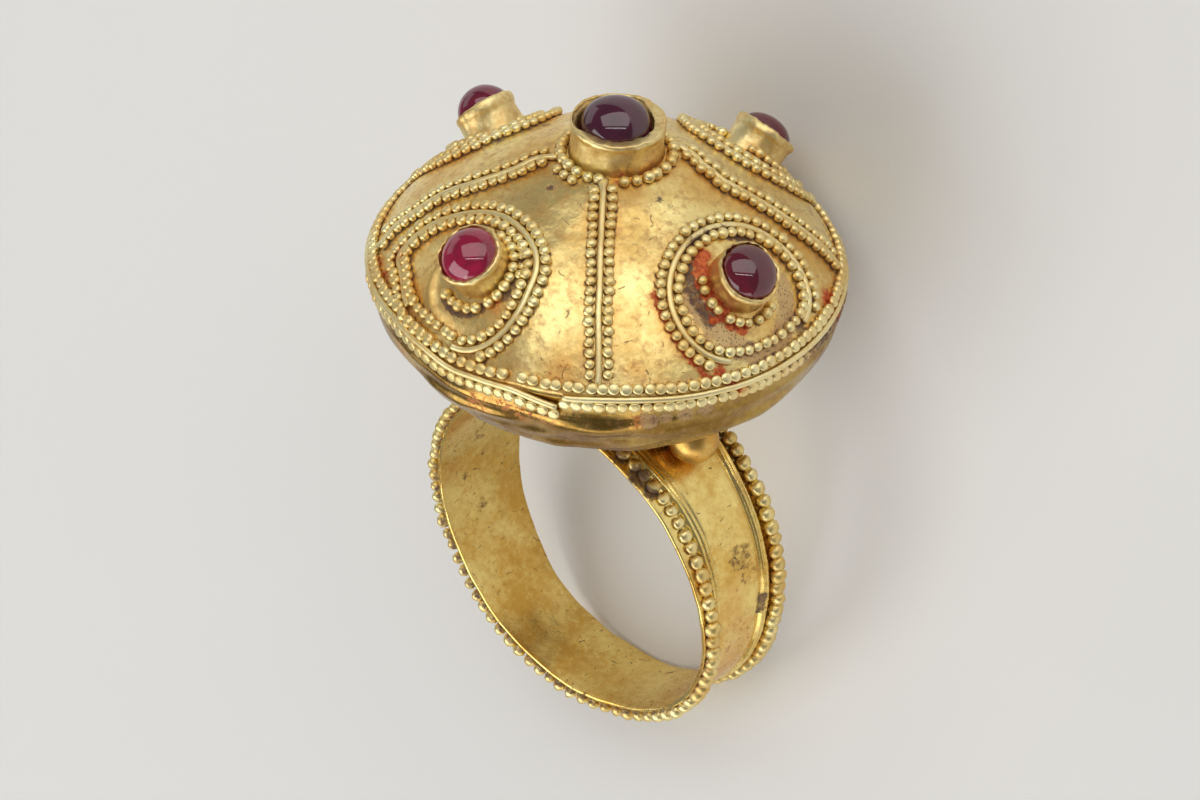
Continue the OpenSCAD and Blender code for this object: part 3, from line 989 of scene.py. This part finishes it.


# Dirt and painted shade round the granules
# Brown and purple soil has stayed in the corners between the granules and the sheet; the same
# darker colour there, and low on each granule and wire, is also painted shade. Orange residue and
# sandy crust lie round the front right collet and in places along the border, and wide soil and
# ochre patches on the hoop's outer panel are painted shade and painted dark reflection.
bead_tree = kdtree.KDTree(len(bead_centres))
for i, centre in enumerate(bead_centres):
    bead_tree.insert(centre, i)
bead_tree.balance()
worn_place = laid.inverted()
dome_arcs = (
    # kind, turn of a collet, radius round its middle, first and last angle, size and strength
    ("rust_and_shade", 177.5, 1.85, 205, 325, 0.50, 0.98), ("soil_and_shade", 177.5, 2.50, 125, 285, 0.46, 0.80),
    ("speck", 177.5, 2.65, 265, 435, 0.65, 0.9), ("rust_and_shade", 177.5, 4.45, 250, 298, 0.26, 0.85),
    ("rust_and_shade", 177.5, 3.90, 306, 322, 0.45, 0.95), ("soil_and_shade", 87.5, 1.78, -28, 50, 0.30, 0.95),
    ("soil_and_shade", 87.5, 2.30, 80, 130, 0.26, 0.70),
)
dome_patches = (
    # kind, turn of a collet, distance out and aside on its side, size and strength
    ("rust_and_shade", 177.5, 9.6, -2.3, 0.3, 0.9), ("rust_and_shade", 177.5, 10.4, 5.7, 0.9, 0.9),
    ("soil_and_shade", 177.5, 11.3, 2.4, 0.5, 0.7), ("soil_and_shade", 177.5, 11.1, -1.0, 0.35, 0.6),
    ("speck", 132.5, 5.0, 3.0, 1.6, 0.35), ("rust_and_shade", 87.5, 9.6, 2.0, 0.6, 0.6),
    ("rust_and_shade", 87.5, 10.7, -3.4, 0.7, 0.6), ("rust_and_shade", 87.5, 9.4, -5.2, 0.8, 0.7),
    ("soil_and_shade", 132.5, 2.66, -3.16, 0.26, 0.72), ("soil_and_shade", 132.5, 3.1, -1.0, 0.5, 0.6),
    ("soil_and_shade", 132.5, 3.3, 2.2, 0.24, 0.62), ("soil_and_shade", 132.5, 3.45, 2.8, 0.22, 0.56),
    ("rust_and_shade", 132.5, 11.2, -2.0, 0.9, 0.5), ("rust_and_shade", 132.5, 11.0, -4.6, 1.2, 0.4),
    ("rust_and_shade", 132.5, 3.2, 1.4, 0.8, 0.4), ("rust_and_shade", 132.5, 11.3, 1.5, 0.7, 0.5),
    ("rust_and_shade", 132.5, 2.35, 0.3, 0.6, 0.60), ("rust_and_shade", 132.5, 1.8, 1.7, 0.7, 0.62),
    ("soil_and_shade", 132.5, 1.6, 1.9, 0.5, 0.50), ("soil_and_shade", 132.5, 2.3, -0.9, 0.4, 0.55),
    ("soil_and_shade", 132.5, -4.2, -3.7, 0.35, 0.62), ("soil_and_shade", 132.5, -3.9, -5.0, 0.30, 0.62),
    ("soil_and_shade", 132.5, -2.9, -5.9, 0.35, 0.62), ("soil_and_shade", 132.5, -5.3, -10.1, 0.35, 0.6),
    ("rust_and_shade", 132.5, 2.2, -11.5, 0.5, 0.7), ("rust_and_shade", 132.5, 3.4, -11.2, 0.5, 0.7),
)
bowl_patches = (
    # kind, turn, height, size and strength
    ("rust_and_shade", 102, -1.5, 0.9, 0.60), ("rust_and_shade", 109, -1.2, 0.6, 0.68), ("rust_and_shade", 114, -1.5, 0.8, 0.58),
    ("rust_and_shade", 120, -1.3, 0.9, 0.50), ("rust_and_shade", 141, -1.4, 0.6, 0.62), ("speck", 144, -1.4, 0.5, 0.9),
    ("speck", 148, -1.2, 0.4, 0.9), ("speck", 153, -1.1, 0.5, 0.9), ("speck", 158, -1.0, 0.5, 0.8),
    ("soil_and_shade", 145, -1.4, 0.24, 0.66), ("soil_and_shade", 153, -1.05, 0.30, 0.70),
    ("soil_and_shade", 158, -1.0, 0.24, 0.62),
    ("rust_and_shade", 76, -1.4, 0.8, 0.5), ("soil_and_shade", 84, -2.6, 1.0, 0.45),
)
hoop_patches = (
    # kind, degrees round the hoop, place along the finger, radius from the middle, size, strength
    # The wide soil patches at 160 and 166 degrees are painted shade on the hoop's outer panel.
    ("soil_and_shade", 160, -0.6, 9.55, 1.00, 0.48), ("soil_and_shade", 166, -0.8, 9.55, 0.90, 0.42),
    ("soil_and_shade", 178, -1.65, 9.55, 0.42, 0.8), ("soil_and_shade", 182, -1.55, 9.55, 0.36, 0.72),
    ("soil_and_shade", 113, 3.0, 9.6, 0.5, 0.7), ("soil_and_shade", 121, 2.8, 9.6, 0.6, 0.85),
    ("soil_and_shade", 127, 2.7, 9.6, 0.5, 0.8), ("soil_and_shade", 125, -3.2, 9.6, 0.6, 0.6),
    ("rust_and_shade", 119, 1.0, 9.55, 1.1, 0.48), ("rust_and_shade", 126, 0.0, 9.55, 0.8, 0.42),
    ("rust_and_shade", 140, -2.3, 9.55, 1.0, 0.45), ("rust_and_shade", 195, 2.4, 9.5, 1.0, 0.5),
    # The wide ochre patches from 172 to 222 degrees are painted dark reflection on the outer panel.
    ("rust_and_shade", 172, 0.6, 9.55, 1.5, 0.40), ("rust_and_shade", 188, 0.2, 9.55, 1.8, 0.48),
    ("rust_and_shade", 205, 0.5, 9.55, 1.8, 0.48), ("rust_and_shade", 222, 0.0, 9.55, 1.8, 0.40),
    ("soil_and_shade", 10, 0.4, 9.25, 0.6, 0.5), ("soil_and_shade", 14, 0.1, 9.25, 0.5, 0.45),
    ("soil_and_shade", -4, 1.4, 9.25, 0.45, 0.5), ("soil_and_shade", -18, 0.5, 9.25, 0.5, 0.5),
    ("rust_and_shade", -104, -0.6, 9.25, 1.6, 0.35), ("rust_and_shade", 0, 2.2, 9.25, 1.2, 0.35),
)


def patch_places():
    """Where each patch of dirt is, with its kind, size and strength."""
    spots = list(dome_patches)
    for kind, turn, radius, first, last, size, strength in dome_arcs:
        steps = max(2, round(math.radians(last - first) * radius / size))
        for i in range(steps + 1):
            angle = math.radians(first + (last - first) * i / steps)
            spots.append((kind, turn, collet_away + radius * math.cos(angle),
                          radius * math.sin(angle), size, strength))
    places = []
    for kind, turn, out, aside, size, strength in spots:
        spot = Matrix.Rotation(math.radians(turn), 3, "Z") @ Vector((out, aside, 0))
        places.append((kind, on_plan(spot), size, strength))
    for kind, turn, height, size, strength in bowl_patches:
        spot = on_border(turn, -0.1, height)
        places.append((kind, spot, size, strength))
    for kind, degrees, y, radius, size, strength in hoop_patches:
        angle = math.radians(degrees)
        spot = Vector((radius * math.cos(angle), y, radius * math.sin(angle)))
        places.append((kind, hoop_middle + hoop_turn @ spot, size, strength))
    return places


patches = patch_places()


def stain_and_shade(piece, dirt_and_shade_at=None):
    """Writes how much soil, orange residue and speckling there is at each point of a piece; the
    soil and rust values also carry painted shade and painted dark reflection.
    """
    spots = [worn_place @ v.co for v in piece.data.vertices]
    near = kdtree.KDTree(len(spots))
    for i, spot in enumerate(spots):
        near.insert(spot, i)
    near.balance()
    dirt_and_shade = [dirt_and_shade_at(spot) if dirt_and_shade_at else (0.0, 0.0, 1.0) for spot in spots]
    for column, name in enumerate(("soil_and_shade", "rust_and_shade", "speck")):
        values = [0.0 if name == "speck" else row[column] for row in dirt_and_shade]
        for kind, centre, size, strength in patches:
            if kind == name:
                edge = 1.5 * size
                for _, i, away in near.find_range(centre, edge):
                    amount = strength * ramp(away, edge, 0.5 * size) * dirt_and_shade[i][2]
                    values[i] = max(values[i], amount)
        layer = piece.data.attributes.new(name, "FLOAT", "POINT")
        layer.data.foreach_set("value", values)


def dome_dirt_and_shade(spot):
    """Soil, orange residue and how much a patch shows, beside the granules on the dome; the soil
    close to the granules is painted shade in the corners as well as dirt.
    """
    away = bead_tree.find(spot)[2]
    # Soil near a granule is painted shade in the corner as well as dirt.
    return 0.72 * ramp(away, 0.48, 0.27), 0.38 * ramp(away, 0.95, 0.30), 1.0


def bead_dirt_and_shade(spot):
    """The same on a granule or a wire, which is clean on top and dirty near the sheet; the darker
    soil near the sheet is painted shade at its foot as well as dirt.
    """
    if spot.z < 0.1:
        lift = math.hypot(spot.x, spot.y) - border_r + 0.05
    else:
        lift = (spot - on_plan(spot)).dot(out_of_dome(spot))
    # Soil low on a granule or wire is painted shade at its foot as well as dirt.
    return 0.68 * ramp(lift, 0.24, 0.0), 0.45 * ramp(lift, 0.36, 0.05), ramp(lift, 0.42, 0.12)


def hoop_dirt_and_shade(spot):
    """The same on a granule of the hoop."""
    place = hoop_turn.inverted() @ (spot - hoop_middle)
    lift = math.hypot(place.x, place.z) - strap_r
    # Soil low on a hoop granule is painted shade at its foot as well as dirt.
    return 0.60 * ramp(lift, 0.12, -0.06), 0.4 * ramp(lift, 0.25, 0.0), ramp(lift, 0.40, 0.10)


stain_and_shade(dome_piece, dome_dirt_and_shade)
for name in ("border_granules", "rib_granules", "loop_granules", "collet_granules", "loop_wires",
             "rib_wires"):
    stain_and_shade(bpy.data.objects[name], bead_dirt_and_shade)
stain_and_shade(bpy.data.objects["hoop_granules"], hoop_dirt_and_shade)
for name in ("hoop_strap", "bezel_bowl", "collet_middle", "collet_b", "collet_c"):
    stain_and_shade(bpy.data.objects[name])
